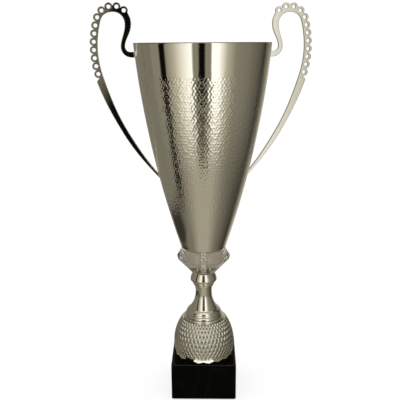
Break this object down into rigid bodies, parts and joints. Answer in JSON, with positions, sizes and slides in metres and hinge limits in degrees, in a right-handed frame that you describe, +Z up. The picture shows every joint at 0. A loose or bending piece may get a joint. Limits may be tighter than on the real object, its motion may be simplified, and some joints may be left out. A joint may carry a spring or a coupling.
{
  "type": "cup trophy",
  "caption": "Tall tapered metal cup with a hammered wall and pierced bead handles, on a clear collar, a studded dome foot and a black marble block.",
  "frame": {"origin": "on the shelf, under the middle of the block", "axes": "+Z up along the rod, +X to the viewer's right across the front of the block, -Y towards the viewer"},
  "size_m": [0.2498, 0.156, 0.4705],
  "materials": {
    "felt": "thin black felt",
    "marble": "polished black marble",
    "zinc_steel": "zinc plated",
    "plated_plastic": "silver plated moulding",
    "clear_collar": "clear moulded acrylic",
    "nickel_cup": "polished nickel, hammered below the rim",
    "nickel_handle": "polished cast nickel"
  },
  "bodies": {
    "root": {"felt_pad": "felt", "marble_base": "marble", "tie_rod": "zinc_steel", "base_washer": "zinc_steel", "base_nut": "zinc_steel", "dome_foot": "plated_plastic", "stem_neck": "plated_plastic", "stem_knop": "plated_plastic", "collar_sleeve": "plated_plastic", "crystal_collar": "clear_collar", "cup_bowl": "nickel_cup", "cup_washer": "zinc_steel", "cup_nut": "zinc_steel", "handle_left": "nickel_handle", "handle_right": "nickel_handle", "handle_washer_left_upper": "zinc_steel", "handle_washer_left_lower": "zinc_steel", "handle_washer_right_upper": "zinc_steel", "handle_washer_right_lower": "zinc_steel", "handle_nut_left_upper": "zinc_steel", "handle_nut_left_lower": "zinc_steel", "handle_nut_right_upper": "zinc_steel", "handle_nut_right_lower": "zinc_steel"}
  },
  "joints": []
}
